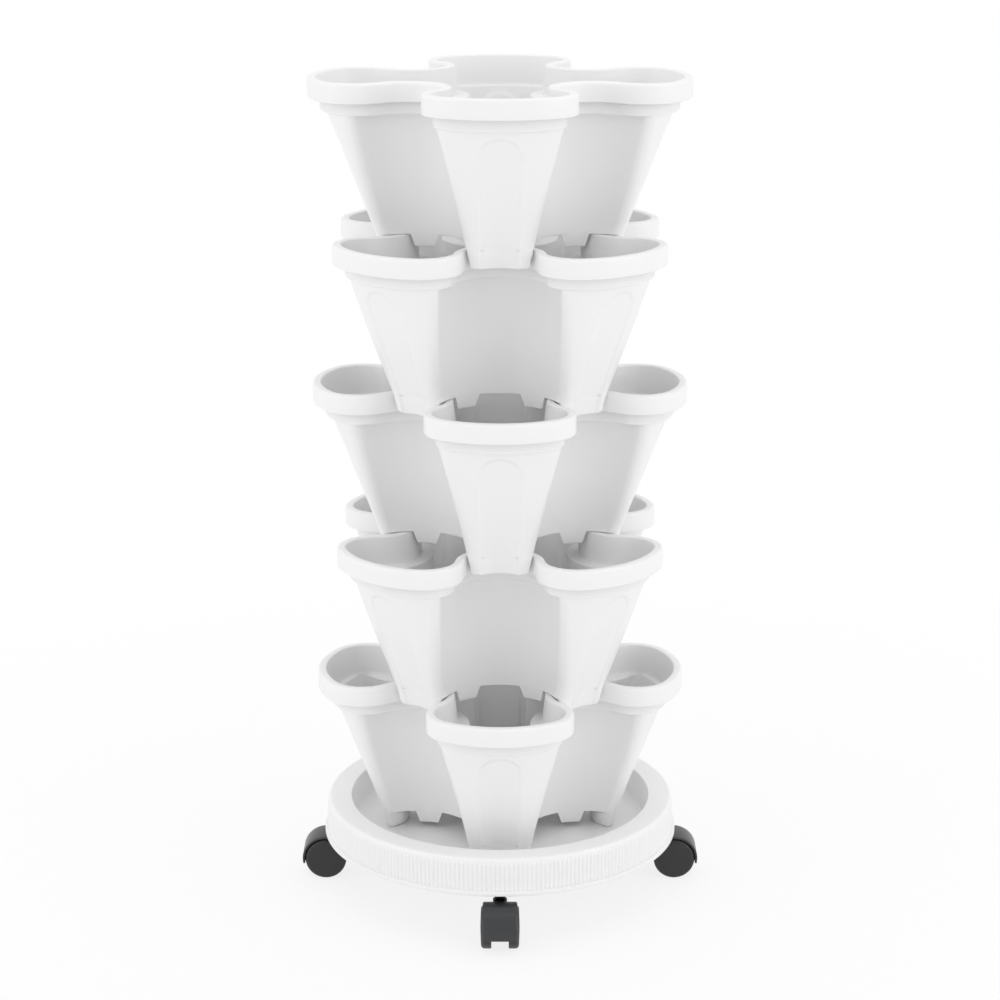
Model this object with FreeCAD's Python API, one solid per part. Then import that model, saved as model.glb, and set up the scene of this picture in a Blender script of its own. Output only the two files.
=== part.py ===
"""Planter tower: five stacked four-lobed pots on a round tray with four twin-wheel casters.

Millimetres, +Z up. The origin is on the floor, under the middle of the tower.
The pots are numbered from the top, and every second one is turned by 45 degrees.
"""
import FreeCAD
import Part
import math
import os
from collections import namedtuple

# Four-lobed outline: how far a lobe and a valley lie from the middle, and the radii that join them
Lobes = namedtuple("Lobes", "reach half_width end_radius corner_radius valley_reach")

# Pots
TIERS = 5
TIER_TURN = 45.0
LOBES = 4
POT_HEIGHT = 158.0
NEST_DEPTH = 16.5
PLASTIC = 2.2
RIM = Lobes(reach=175.0, half_width=68.8, end_radius=97.0, corner_radius=24.4, valley_reach=79.5)
BAND_HEIGHT = 17.8
COLLAR_INSET = 7.8
LIP_WIDTH = COLLAR_INSET + PLASTIC
COLLAR_DROP = 25.0
WALL_TOP_REACH = 159.0
WALL_FOOT_REACH = 114.5
WALL_TOP_VALLEY = 65.2
WALL_FOOT_VALLEY = 57.5
WALL_END_RADIUS = 84.0
WALL_VALLEY_RADIUS = 54.0
WALL_CORNER_RADIUS = 9.0
FLOOR_INSET = 1.2
FLOOR_THICK = 2.6
SEAT_REVEAL = 0.8

# Cup that hangs below each lobe, outside the rim of the pot beneath
CUP_FOOT_REACH = 110.5
CUP_TOP_HALF_WIDTH = 27.0
CUP_FOOT_HALF_WIDTH = 24.8
CUP_CORNER = 7.0
CUP_END_RADIUS = 75.0
CUP_CLEARANCE = 5.0
CUP_DRAIN_RADIUS = 3.0
CUP_DRAIN_REACH = 95.0

# Tabs that hang inside the rim of the pot beneath
TAB_DROP = 7.0
TAB_CLEARANCE = 0.8
TAB_WIDTH = 18.0
TAB_SLANT = 3.0

# Arched panel sunk into the end of each lobe
PANEL_HALF_WIDTH = 22.5
PANEL_FOOT_HALF_WIDTH = 19.0
PANEL_TOP_DROP = 35.0
PANEL_TOP_DEPTH = 2.0
PANEL_FOOT_DEPTH = 7.0
PANEL_TOP_EDGE = 5.5
PANEL_FOOT_EDGE = -2.0
FLOOR_DRAIN_RADIUS = 2.5
FLOOR_DRAIN_REACH = 38.0

# Caster wheels and hood
CASTERS = {"right": 0.0, "back": 90.0, "left": 180.0, "front": 270.0}
CASTER_SETBACK = 12.4
CASTER_TRAIL = 16.0
WHEEL_RADIUS = 20.0
WHEEL_SHOULDER = 3.5
WHEEL_CROWN = 0.6
WHEEL_GAP = 16.0
TWIN_WIDTH = 36.4
AXLE_RADIUS = 2.5
AXLE_END_COVER = 1.6
HUB_RADIUS = 6.5
RUNNING_CLEARANCE = 0.05
SIDE_CLEARANCE = 0.5
HOOD_WIDTH = 32.0
HOOD_GAP = 0.9
HOOD_THICK = 1.9
HOOD_FRONT_ANGLE = -12.0
HOOD_BACK_ANGLE = 165.0
HOOD_TO_TRAY = 7.2

# Tray
TRAY_RADIUS = 166.9
TRAY_BOTTOM = 2 * WHEEL_RADIUS + HOOD_GAP + HOOD_THICK + HOOD_TO_TRAY
TRAY_HEIGHT = 35.5
TRAY_WALL = 2.4
DISH_RISE = 7.4
DISH_LEAN = 3.5
DISH_FOOT_ROUND = 5.0
TRAY_LIP_BREADTH = 22.4
FLANGE_WIDTH = 5.6
FLANGE_HEIGHT = 3.5
LIP_OUTER_ROUND = 3.4
LIP_INNER_ROUND = 1.0
FLUTES = 252
FLUTE_DEPTH = 1.2
FLUTE_SINK = 1.0
FLUTE_MARGIN = 0.8
UNDER_RIBS = 8
UNDER_RIB_THICK = 2.0
UNDER_RIB_INNER = 20.0
UNDER_RIB_RECESS = 0.5
TRAY_FLOOR_TOP = TRAY_BOTTOM + DISH_RISE
LIP_INNER_RADIUS = TRAY_RADIUS - TRAY_LIP_BREADTH
DISH_FOOT_RADIUS = LIP_INNER_RADIUS - DISH_LEAN
FLANGE_RADIUS = TRAY_RADIUS + FLANGE_WIDTH

# Caster stem, the boss of the hood that it turns in, and its socket in the tray
STEM_RADIUS = 4.0
STEM_DEPTH = 24.0
STEM_POINT = 1.2
NECK_STEP = 0.7
COLLAR_STEP = 3.0
COLLAR_HEIGHT = 3.0
BOSS_WALL = 2.6
BOSS_ABOVE_AXLE = 7.0
BOSS_ABOVE_WHEEL = 0.5
HEAD_STEP = 0.8
HEAD_HEIGHT = 1.5
HEAD_CLEARANCE = 0.7
SOCKET_CLEARANCE = 0.6
SOCKET_WALL = 3.9
SOCKET_SPARE = 2.0
GRIP_RING_DROP = 8.0
GRIP_RING_HEIGHT = 4.0
GRIP_RING_SLIT = 1.6
GROOVE_DEPTH = 0.6
RING_CLEARANCE = 0.05
CASTER_REACH = TRAY_RADIUS - CASTER_SETBACK
BOSS_BOTTOM = WHEEL_RADIUS + BOSS_ABOVE_AXLE
BOSS_TOP = 2 * WHEEL_RADIUS + BOSS_ABOVE_WHEEL
HEAD_RADIUS = STEM_RADIUS + HEAD_STEP
SOCKET_BORE = STEM_RADIUS + SOCKET_CLEARANCE
GRIP_RING_INNER = STEM_RADIUS - GROOVE_DEPTH

# Spare length of a cutting body past the face that it cuts
OVERCUT = 1.0
UP = FreeCAD.Vector(0, 0, 1)
ACROSS = FreeCAD.Vector(0, 1, 0)


def point(x, y, z=0.0):
    return FreeCAD.Vector(x, y, z)


def turned(vector, degrees):
    return FreeCAD.Rotation(UP, degrees).multVec(vector)


def inset(lobes, depth):
    """The outline moved inward by a depth: every arc keeps its centre."""
    return Lobes(*(size - depth for size in lobes))


def corner_centre(lobes):
    """Centre of the arc that joins a lobe's end to its side, inside both."""
    across = lobes.half_width - lobes.corner_radius
    radial = lobes.end_radius - lobes.corner_radius
    return point(lobes.reach - lobes.end_radius + math.sqrt(radial ** 2 - across ** 2), across)


def valley_distance(lobes):
    """Distance of the valley arc's centre from the middle, so that it touches both corner arcs."""
    corner = corner_centre(lobes)
    change = lobes.corner_radius - lobes.valley_reach
    top = corner.x ** 2 + corner.y ** 2 - change ** 2
    return top / (2 * change + math.sqrt(2) * (corner.x + corner.y))


def valley_radius(lobes):
    return valley_distance(lobes) - lobes.valley_reach


def arc(start, middle, end):
    return Part.Arc(start, middle, end).toShape()


def lobed_wire(lobes, z):
    """Closed outline of four lobes: end arcs, corner arcs and valley arcs, all tangent."""
    corner = corner_centre(lobes)
    end_centre = point(lobes.reach - lobes.end_radius, 0)
    reach = valley_distance(lobes) / math.sqrt(2)
    valley_centre = point(reach, reach)
    to_corner = (corner - end_centre).normalize()
    to_valley = (valley_centre - corner).normalize()
    shoulder = end_centre + to_corner * lobes.end_radius
    bend = corner + (to_corner + to_valley).normalize() * lobes.corner_radius
    flank = corner + to_valley * lobes.corner_radius
    tip = point(lobes.reach, 0)
    valley = turned(point(lobes.valley_reach, 0), 45)
    lift = point(0, 0, z)
    edges = []
    for lobe in range(LOBES):
        turn = 360.0 / LOBES * lobe

        def place(spot):
            return turned(spot, turn) + lift

        def mirror(spot):
            return place(point(spot.x, -spot.y))

        next_flank = turned(point(flank.x, -flank.y), turn + 360.0 / LOBES) + lift
        edges.append(arc(mirror(flank), mirror(bend), mirror(shoulder)))
        edges.append(arc(mirror(shoulder), place(tip), place(shoulder)))
        edges.append(arc(place(shoulder), place(bend), place(flank)))
        edges.append(arc(place(flank), place(valley), next_flank))
    return Part.Wire(edges)


def lobed_prism(lobes, bottom, top):
    face = Part.Face(lobed_wire(lobes, bottom))
    return face.extrude(point(0, 0, top - bottom))


def cylinder(radius, bottom, top, x=0.0, y=0.0):
    return Part.makeCylinder(radius, top - bottom, point(x, y, bottom), UP)


def polygon_face(points):
    return Part.Face(Part.makePolygon(points + points[:1]))


def around(shape, count, start=0.0):
    """Copies of a shape, evenly spaced about the vertical axis."""
    copies = []
    for step in range(count):
        copy = shape.copy()
        copy.rotate(point(0, 0), UP, start + 360.0 / count * step)
        copies.append(copy)
    return copies


TIER_PITCH = POT_HEIGHT - NEST_DEPTH
BAND_BOTTOM = POT_HEIGHT - BAND_HEIGHT
COLLAR_BOTTOM = POT_HEIGHT - COLLAR_DROP
WALL_EDGE = NEST_DEPTH + SEAT_REVEAL
END_LEAN = (WALL_TOP_REACH - WALL_FOOT_REACH) / (COLLAR_BOTTOM - WALL_EDGE)
VALLEY_LEAN = (WALL_TOP_VALLEY - WALL_FOOT_VALLEY) / (COLLAR_BOTTOM - WALL_EDGE)


def wall_reach(z):
    """How far the wall's lobe ends lie from the middle at a height above the pot's lowest point."""
    return WALL_FOOT_REACH + END_LEAN * (z - WALL_EDGE)


def valley_centre(z):
    """Distance of the wall's valley centre from the middle at the same height."""
    return WALL_FOOT_VALLEY + WALL_VALLEY_RADIUS + VALLEY_LEAN * (z - WALL_EDGE)


def leaning_cylinder(radius, centre, lean, bottom, top):
    """Cylinder whose axis leans outward in the XZ plane from a centre at height zero, longer than needed."""
    direction = point(lean, 0, 1)
    start = point(centre, 0) + direction * (bottom - radius)
    length = (top - bottom + 2 * radius) * direction.Length
    return Part.makeCylinder(radius, length, start, direction)


def wall_body(depth, bottom, top):
    """The tapered wall's solid between two heights, inset by a depth.

    Four leaning cylinders make the lobe ends, four more cut the valleys, and each corner is rounded.
    """
    end_radius = WALL_END_RADIUS - depth
    tip_to_axis = WALL_END_RADIUS * math.sqrt(1 + END_LEAN ** 2)
    end = leaning_cylinder(end_radius, wall_reach(0) - tip_to_axis, END_LEAN, 0, POT_HEIGHT)
    lobes = around(end, LOBES)
    body = cylinder(RIM.reach, 0, POT_HEIGHT).common(lobes[0].fuse(lobes[1:]))
    valley = leaning_cylinder(WALL_VALLEY_RADIUS + depth, valley_centre(0), VALLEY_LEAN, 0, POT_HEIGHT)
    body = body.cut(around(valley, LOBES, 180.0 / LOBES))
    corners = [edge for edge in body.Edges if isinstance(edge.Curve, Part.BSplineCurve)]
    body = body.makeFillet(WALL_CORNER_RADIUS - depth, corners)
    return body.common(cylinder(RIM.reach, bottom, top))


def panel_cutter(sunk):
    """Body that sinks the arched panel of the lobe on +X, or its inner side when sunk is the wall."""
    top = POT_HEIGHT - PANEL_TOP_DROP + sunk
    foot = -OVERCUT
    far = RIM.reach
    half = PANEL_HALF_WIDTH + sunk
    foot_half = PANEL_FOOT_HALF_WIDTH + sunk
    spring = top - half
    arch = arc(point(0, -half, spring), point(0, 0, top), point(0, half, spring))
    frame = Part.makePolygon([point(0, half, spring), point(0, foot_half, foot),
                              point(0, -foot_half, foot), point(0, -half, spring)])
    opening = Part.Face(Part.Wire([arch] + frame.Edges)).extrude(point(far, 0, 0))

    def section(z, middle_depth, edge_depth):
        surface = wall_reach(z) - sunk
        edge = surface - edge_depth
        curve = arc(point(edge, -half, z), point(surface - middle_depth, 0, z), point(edge, half, z))
        back = Part.makePolygon([point(edge, half, z), point(far, half, z), point(far, -half, z),
                                 point(edge, -half, z)])
        return Part.Wire([curve] + back.Edges)

    hollow = Part.makeLoft([section(foot, PANEL_FOOT_DEPTH, PANEL_FOOT_EDGE),
                            section(top, PANEL_TOP_DEPTH, PANEL_TOP_EDGE)], True, True)
    return opening.common(hollow)


def cup_body(depth, bottom, top):
    """Hanging cup of the lobe on +X: the lobe's end, cut off by the rim of the pot beneath."""
    lean = (WALL_FOOT_REACH - CUP_FOOT_REACH) / NEST_DEPTH
    tip_to_axis = CUP_END_RADIUS * math.sqrt(1 + lean ** 2)
    end = leaning_cylinder(CUP_END_RADIUS - depth, CUP_FOOT_REACH - tip_to_axis, lean, bottom, top)
    spread = (CUP_TOP_HALF_WIDTH - CUP_FOOT_HALF_WIDTH) / NEST_DEPTH
    low = CUP_FOOT_HALF_WIDTH - depth + spread * bottom
    high = CUP_FOOT_HALF_WIDTH - depth + spread * top
    sides = polygon_face([point(0, -low, bottom), point(0, low, bottom), point(0, high, top),
                          point(0, -high, top)])
    block = sides.extrude(point(RIM.reach, 0, 0)).common(end)
    corners = []
    for edge in block.Edges:
        if edge.BoundBox.XMin > CUP_FOOT_REACH / 2 and abs(edge.BoundBox.ZLength - (top - bottom)) < 1e-3:
            corners.append(edge)
    block = block.makeFillet(CUP_CORNER - depth, corners)
    round_back = cylinder(valley_radius(RIM) - CUP_CLEARANCE - depth, bottom, top, valley_distance(RIM))
    return block.common(round_back)


def tab_slab():
    """Slab across the lobe on +X whose slanted ends trim the tabs inside the rim beneath."""
    neck_half = valley_centre(WALL_EDGE) / math.sqrt(2) - WALL_VALLEY_RADIUS
    lip_radius = valley_radius(RIM) + LIP_WIDTH
    rim_edge = valley_distance(RIM) - math.sqrt(lip_radius ** 2 - neck_half ** 2)
    outer = rim_edge - TAB_CLEARANCE
    inner = outer - TAB_WIDTH
    span = WALL_FOOT_REACH / 2
    foot = NEST_DEPTH - TAB_DROP
    head = WALL_EDGE
    side = polygon_face([point(inner + TAB_SLANT, -span, foot), point(outer - TAB_SLANT, -span, foot),
                         point(outer, -span, head), point(inner, -span, head)])
    return side.extrude(point(0, 2 * span, 0))


def make_pot():
    """One pot, standing with its hanging cups on z = 0 and its lobes on the X and Y axes."""
    ledge = COLLAR_BOTTOM + PLASTIC
    floor_top = NEST_DEPTH + FLOOR_THICK
    tab_foot = NEST_DEPTH - TAB_DROP

    # Outside: band with a hollow under it, collar, tapered wall and recessed floor
    band = lobed_prism(RIM, BAND_BOTTOM, POT_HEIGHT)
    under_band = lobed_prism(inset(RIM, PLASTIC), BAND_BOTTOM, POT_HEIGHT - PLASTIC)
    body = band.cut(under_band)
    body = body.fuse(lobed_prism(inset(RIM, COLLAR_INSET), COLLAR_BOTTOM, POT_HEIGHT))
    body = body.fuse(wall_body(0.0, WALL_EDGE, COLLAR_BOTTOM))
    body = body.fuse(wall_body(FLOOR_INSET, NEST_DEPTH, floor_top))

    # Tabs and hanging cups below the floor
    skirt_inside = wall_body(PLASTIC, tab_foot - OVERCUT, WALL_EDGE + OVERCUT)
    skirt = wall_body(0.0, tab_foot, WALL_EDGE).cut(skirt_inside)
    tabs = [skirt.common(slab) for slab in around(tab_slab(), LOBES)]
    cups = around(cup_body(0.0, 0.0, NEST_DEPTH), LOBES)
    body = body.fuse(tabs + cups)

    # Inside: throat, ledge, tapered wall, and the hollows of the cups
    hollow = lobed_prism(inset(RIM, LIP_WIDTH), ledge, POT_HEIGHT + OVERCUT)
    hollow = hollow.fuse(wall_body(PLASTIC, floor_top, ledge))
    cup_hollows = around(cup_body(PLASTIC, PLASTIC, floor_top), LOBES)
    hollow = hollow.fuse(cup_hollows)

    # Arched panels, sunk into the outside and standing proud inside
    body = body.cut(around(panel_cutter(0.0), LOBES))
    hollow = hollow.cut(around(panel_cutter(PLASTIC), LOBES))

    # Drain holes in the floor's valleys and in each cup
    floor_drain = cylinder(FLOOR_DRAIN_RADIUS, NEST_DEPTH - OVERCUT, floor_top + OVERCUT, FLOOR_DRAIN_REACH)
    cup_drain = cylinder(CUP_DRAIN_RADIUS, -OVERCUT, PLASTIC + OVERCUT, CUP_DRAIN_REACH)
    drains = around(floor_drain, LOBES, 180.0 / LOBES) + around(cup_drain, LOBES)
    return body.cut([hollow] + drains)


def make_tray():
    """Round tray: flat dish, broad lip, fluted skirt with a foot flange, caster sockets and under ribs."""
    top = TRAY_BOTTOM + TRAY_HEIGHT
    under_lip = top - TRAY_WALL
    floor_under = TRAY_FLOOR_TOP - TRAY_WALL
    skirt_inner = TRAY_RADIUS - TRAY_WALL
    flange_top = TRAY_BOTTOM + FLANGE_HEIGHT
    channel_inner = LIP_INNER_RADIUS + TRAY_WALL
    dish_outer = DISH_FOOT_RADIUS + TRAY_WALL
    profile = polygon_face([
        point(0, 0, floor_under), point(dish_outer, 0, floor_under), point(channel_inner, 0, under_lip),
        point(skirt_inner, 0, under_lip), point(skirt_inner, 0, TRAY_BOTTOM),
        point(FLANGE_RADIUS, 0, TRAY_BOTTOM), point(FLANGE_RADIUS, 0, flange_top),
        point(TRAY_RADIUS, 0, flange_top), point(TRAY_RADIUS, 0, top), point(LIP_INNER_RADIUS, 0, top),
        point(DISH_FOOT_RADIUS, 0, TRAY_FLOOR_TOP), point(0, 0, TRAY_FLOOR_TOP)])
    tray = profile.revolve(point(0, 0), UP, 360)
    tray = round_edges(tray, LIP_OUTER_ROUND, TRAY_RADIUS, top)
    tray = round_edges(tray, LIP_INNER_ROUND, LIP_INNER_RADIUS, top)
    tray = round_edges(tray, DISH_FOOT_ROUND, DISH_FOOT_RADIUS, TRAY_FLOOR_TOP)

    # Flutes around the skirt: a zigzag outline between the flange and the rounded lip
    step = 2 * math.pi / FLUTES
    root = TRAY_RADIUS - FLUTE_SINK
    crest = TRAY_RADIUS + FLUTE_DEPTH
    zigzag = []
    for flute in range(FLUTES):
        low = step * flute
        high = low + step / 2
        zigzag.append(point(TRAY_RADIUS * math.cos(low), TRAY_RADIUS * math.sin(low), flange_top))
        zigzag.append(point(crest * math.cos(high), crest * math.sin(high), flange_top))
    outline = Part.makePolygon(zigzag + zigzag[:1])
    inner = Part.Wire(Part.makeCircle(root, point(0, 0, flange_top), UP))
    flute_height = top - LIP_OUTER_ROUND - FLUTE_MARGIN - flange_top
    flutes = Part.makeFace([outline, inner], "Part::FaceMakerBullseye").extrude(point(0, 0, flute_height))
    tray = tray.fuse(flutes)

    # Sockets in the channel under the lip, and ribs under the dish
    socket = cylinder(SOCKET_BORE + SOCKET_WALL, TRAY_BOTTOM, under_lip, CASTER_REACH)
    sockets = around(socket, len(CASTERS))
    rib_bottom = TRAY_BOTTOM + UNDER_RIB_RECESS
    rib = Part.makeBox(dish_outer - UNDER_RIB_INNER, UNDER_RIB_THICK, floor_under - rib_bottom,
                       point(UNDER_RIB_INNER, -UNDER_RIB_THICK / 2, rib_bottom))
    ribs = around(rib, UNDER_RIBS, 180.0 / UNDER_RIBS)
    tray = tray.fuse(sockets + ribs)
    bore_top = TRAY_BOTTOM + STEM_DEPTH + SOCKET_SPARE
    bores = around(cylinder(SOCKET_BORE, TRAY_BOTTOM - OVERCUT, bore_top, CASTER_REACH), len(CASTERS))
    return tray.cut(bores)


def round_edges(shape, radius, at_radius, at_height):
    """Rounds the circular edges that lie at one radius and height about the vertical axis."""
    chosen = []
    for edge in shape.Edges:
        curve = edge.Curve
        if not isinstance(curve, Part.Circle):
            continue
        if abs(curve.Radius - at_radius) < 1e-6 and abs(curve.Center.z - at_height) < 1e-6:
            chosen.append(edge)
    return shape.makeFillet(radius, chosen)


def axle_point():
    return point(CASTER_TRAIL, 0, WHEEL_RADIUS)


def axle_cylinder(radius, start, end):
    """Cylinder about the axle, from one place across the caster to another."""
    return Part.makeCylinder(radius, end - start, axle_point() + ACROSS * start, ACROSS)


def make_wheel(side):
    """One of the twin wheels: flat tread, rounded shoulder, slightly domed face and a blind bore."""
    inner = WHEEL_GAP / 2
    face = TWIN_WIDTH / 2
    bore = AXLE_RADIUS + RUNNING_CLEARANCE
    rim_edge = WHEEL_RADIUS - WHEEL_SHOULDER
    tread_end = face - WHEEL_CROWN - WHEEL_SHOULDER
    bend = WHEEL_SHOULDER * math.sqrt(0.5)
    bore_end = face - AXLE_END_COVER

    def spot(radius, across):
        return axle_point() + point(0, side * across, radius)

    lines = Part.makePolygon([spot(0, face), spot(0, bore_end), spot(bore, bore_end), spot(bore, inner),
                              spot(WHEEL_RADIUS, inner), spot(WHEEL_RADIUS, tread_end)])
    shoulder = arc(spot(WHEEL_RADIUS, tread_end), spot(rim_edge + bend, tread_end + bend),
                   spot(rim_edge, tread_end + WHEEL_SHOULDER))
    dome = Part.makeLine(spot(rim_edge, tread_end + WHEEL_SHOULDER), spot(0, face))
    profile = Part.Face(Part.Wire(lines.Edges + [shoulder, dome]))
    return profile.revolve(axle_point(), ACROSS, 360)


def make_axle():
    """Plain pin through the hood's web, ending inside both wheels."""
    end = TWIN_WIDTH / 2 - AXLE_END_COVER - SIDE_CLEARANCE
    return axle_cylinder(AXLE_RADIUS, -end, end)


def make_hood():
    """Hood over both wheels, with a middle web that carries the axle and the stem's boss."""
    centre = axle_point()
    inner = WHEEL_RADIUS + HOOD_GAP
    outer = inner + HOOD_THICK
    half = HOOD_WIDTH / 2
    web = WHEEL_GAP / 2 - SIDE_CLEARANCE

    def on_arc(angle):
        radians = math.radians(angle)
        return centre + point(outer * math.cos(radians), -half, outer * math.sin(radians))

    corner = centre + point(0, -half)
    front = on_arc(HOOD_FRONT_ANGLE)
    back = on_arc(HOOD_BACK_ANGLE)
    crown = on_arc((HOOD_FRONT_ANGLE + HOOD_BACK_ANGLE) / 2)
    sides = Part.makePolygon([back, corner, front])
    pie = Part.Face(Part.Wire([arc(front, crown, back)] + sides.Edges))
    body = pie.extrude(point(0, HOOD_WIDTH, 0))
    body = body.cut([axle_cylinder(inner, web, half + OVERCUT), axle_cylinder(inner, -half - OVERCUT, -web)])
    hub = axle_cylinder(HUB_RADIUS, -web, web)
    boss = cylinder(STEM_RADIUS + BOSS_WALL, WHEEL_RADIUS, BOSS_TOP)
    body = body.fuse([hub, boss])
    pocket = cylinder(HEAD_RADIUS + HEAD_CLEARANCE, 0, BOSS_BOTTOM)
    stem_bore = cylinder(STEM_RADIUS + RUNNING_CLEARANCE, 0, BOSS_TOP + OVERCUT)
    axle_bore = axle_cylinder(AXLE_RADIUS, -half, half)
    return body.cut([pocket, stem_bore, axle_bore])


def make_stem():
    """Turned stem: peened head, journal, neck, collar, grooved shank and a pointed end."""
    head_bottom = BOSS_BOTTOM - RUNNING_CLEARANCE - HEAD_HEIGHT
    shank_top = TRAY_BOTTOM + STEM_DEPTH
    groove_top = shank_top - GRIP_RING_DROP
    groove_bottom = groove_top - GRIP_RING_HEIGHT - 2 * RING_CLEARANCE
    groove = GRIP_RING_INNER - RING_CLEARANCE
    neck = STEM_RADIUS + NECK_STEP
    collar = STEM_RADIUS + COLLAR_STEP
    collar_bottom = TRAY_BOTTOM - COLLAR_HEIGHT
    profile = polygon_face([
        point(0, 0, head_bottom), point(HEAD_RADIUS, 0, head_bottom),
        point(HEAD_RADIUS, 0, head_bottom + HEAD_HEIGHT), point(STEM_RADIUS, 0, head_bottom + HEAD_HEIGHT),
        point(STEM_RADIUS, 0, BOSS_TOP), point(neck, 0, BOSS_TOP),
        point(neck, 0, collar_bottom), point(collar, 0, collar_bottom),
        point(collar, 0, TRAY_BOTTOM), point(STEM_RADIUS, 0, TRAY_BOTTOM),
        point(STEM_RADIUS, 0, groove_bottom), point(groove, 0, groove_bottom),
        point(groove, 0, groove_top), point(STEM_RADIUS, 0, groove_top),
        point(STEM_RADIUS, 0, shank_top - STEM_POINT), point(STEM_RADIUS - STEM_POINT, 0, shank_top),
        point(0, 0, shank_top)])
    return profile.revolve(point(0, 0), UP, 360)


def make_grip_ring():
    """Split ring in the stem's groove that grips the wall of the socket."""
    top = TRAY_BOTTOM + STEM_DEPTH - GRIP_RING_DROP - RING_CLEARANCE
    bottom = top - GRIP_RING_HEIGHT
    outer = SOCKET_BORE - RING_CLEARANCE
    ring = cylinder(outer, bottom, top).cut(cylinder(GRIP_RING_INNER, bottom, top))
    slit = Part.makeBox(outer, GRIP_RING_SLIT, GRIP_RING_HEIGHT, point(0, -GRIP_RING_SLIT / 2, bottom))
    return ring.cut(slit)


def save(shape, name):
    solid = shape.removeSplitter()
    if solid.ShapeType != "Solid":
        solid = solid.Solids[0]
    solid.exportStep(os.path.join("parts", name + ".step"))
    print(name, "valid", solid.isValid(), "volume", round(solid.Volume / 1000, 2), "cm3")


def main():
    os.makedirs("parts", exist_ok=True)
    save(make_tray(), "tray")

    pot = make_pot()
    for tier in range(TIERS):
        placed = pot.copy()
        placed.rotate(point(0, 0), UP, TIER_TURN * (tier % 2))
        placed.translate(point(0, 0, TRAY_FLOOR_TOP + TIER_PITCH * (TIERS - 1 - tier)))
        save(placed, f"pot_{tier + 1}")

    pieces = {"stem": make_stem(), "grip_ring": make_grip_ring(), "hood": make_hood(), "axle": make_axle(),
              "wheel_a": make_wheel(1), "wheel_b": make_wheel(-1)}
    for place, turn in CASTERS.items():
        for piece, shape in pieces.items():
            placed = shape.copy()
            placed.translate(point(CASTER_REACH, 0))
            placed.rotate(point(0, 0), UP, turn)
            save(placed, f"caster_{place}_{piece}")


main()
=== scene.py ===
"""Look of a planter tower: five four-lobed pots on a round tray with four twin-wheel casters.

Lengths inside the shape functions are millimetres, measured as in the CAD model; meshes are in metres.
"""
import math

import bpy
import numpy as np
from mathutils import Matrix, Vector


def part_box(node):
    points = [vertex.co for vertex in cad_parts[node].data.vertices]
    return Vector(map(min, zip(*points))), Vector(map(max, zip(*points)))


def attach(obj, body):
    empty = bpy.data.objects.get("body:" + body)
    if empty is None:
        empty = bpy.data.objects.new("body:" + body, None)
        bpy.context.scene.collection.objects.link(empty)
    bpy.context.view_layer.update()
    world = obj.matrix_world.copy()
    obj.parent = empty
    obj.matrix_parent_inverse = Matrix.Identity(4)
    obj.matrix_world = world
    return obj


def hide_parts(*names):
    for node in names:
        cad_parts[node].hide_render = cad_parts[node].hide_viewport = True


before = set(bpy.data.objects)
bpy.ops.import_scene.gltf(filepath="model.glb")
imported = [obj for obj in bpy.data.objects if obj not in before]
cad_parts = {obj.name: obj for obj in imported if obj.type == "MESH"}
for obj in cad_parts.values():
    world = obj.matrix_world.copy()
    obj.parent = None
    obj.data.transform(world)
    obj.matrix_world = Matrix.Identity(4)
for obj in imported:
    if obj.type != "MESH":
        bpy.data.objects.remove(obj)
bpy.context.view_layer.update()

bl_info = {
    "name": "Planter tower",
    "version": (1, 0, 0),
    "blender": (4, 5, 0),
    "location": "3D View > Sidebar > Planter",
    "description": "Moulded pots, fluted tray, hooded casters and a plain studio",
    "category": "Object",
}

MM = 0.001
TIERS = 5
LOBES = 4

# Heights inside one pot, from the lowest point of its hanging cups
SEAT = 16.5
WALL_EDGE = 17.3
FLOOR_TOP = 19.1
COLLAR_BOTTOM = 127.8
LEDGE = 130.0
BAND_BOTTOM = 139.7
CHANNEL_TOP = 155.8
POT_TOP = 158.0
PLASTIC = 2.2
REVEAL = 1.2

# Circles of the rim's outline: lobe end, valley and the corner between them
RIM_END_CENTRE = 76.6
RIM_END_RADIUS = 98.4
RIM_CORNER = 36.4
RIM_VALLEY_DISTANCE = 117.71
RIM_VALLEY_RADIUS = 33.11

# Collar: upright from its foot to the band, then leaning outward to the lip. At the lobes' tips it
# lies further in than at their flanks, by an amount that fades out under the lip
COLLAR_INSET = 7.8
COLLAR_TIP_INSET = 3.4
COLLAR_ROUND = 2.4
LIP_WIDTH = 8.0

# Rounding between the inside wall and the floor
FLOOR_CURL_HEIGHT = 3.0
FLOOR_CURL = 1.5
FLOOR_INSETS = (4.2, 5.0)
FLOOR_MIDDLE_SHARE = 0.3

# Circles of the wall's outline: the lobe's reach and the valley change with height
WALL_REACH = (116.0, 158.0)
WALL_END_RADIUS = 88.0
WALL_VALLEY = (57.5, 65.0)
WALL_VALLEY_RADIUS = 54.0
WALL_CORNER = 9.0

# Arched panel in each lobe's end
PANEL_TOP = 123.0
PANEL_HALF = (19.0, 22.5)
PANEL_MIDDLE = (9.5, 1.4)
PANEL_EDGE = (2.0, 4.2)
PANEL_RAMP = 4.0

# Hanging cups: the lobe's end run on down, cut behind by a cone about the valley centre
CUP_MIDDLE = 101.0
CUP_CLEARANCE = (4.5, 1.8)
CUP_LEAN = 0.25
CUP_ROUND = 2.0
CUP_DRAIN_REACH = 95.0
CUP_DRAIN_RADIUS = 2.5
CUP_DRAIN_DEPTH = 4.0
CUP_CAP_SHARE = 0.1

# Tabs below the neck
TAB_FOOT = 5.3
TAB_OUTER = 81.5
TAB_WIDTH = 25.5
TAB_SLANT = 4.0


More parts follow.
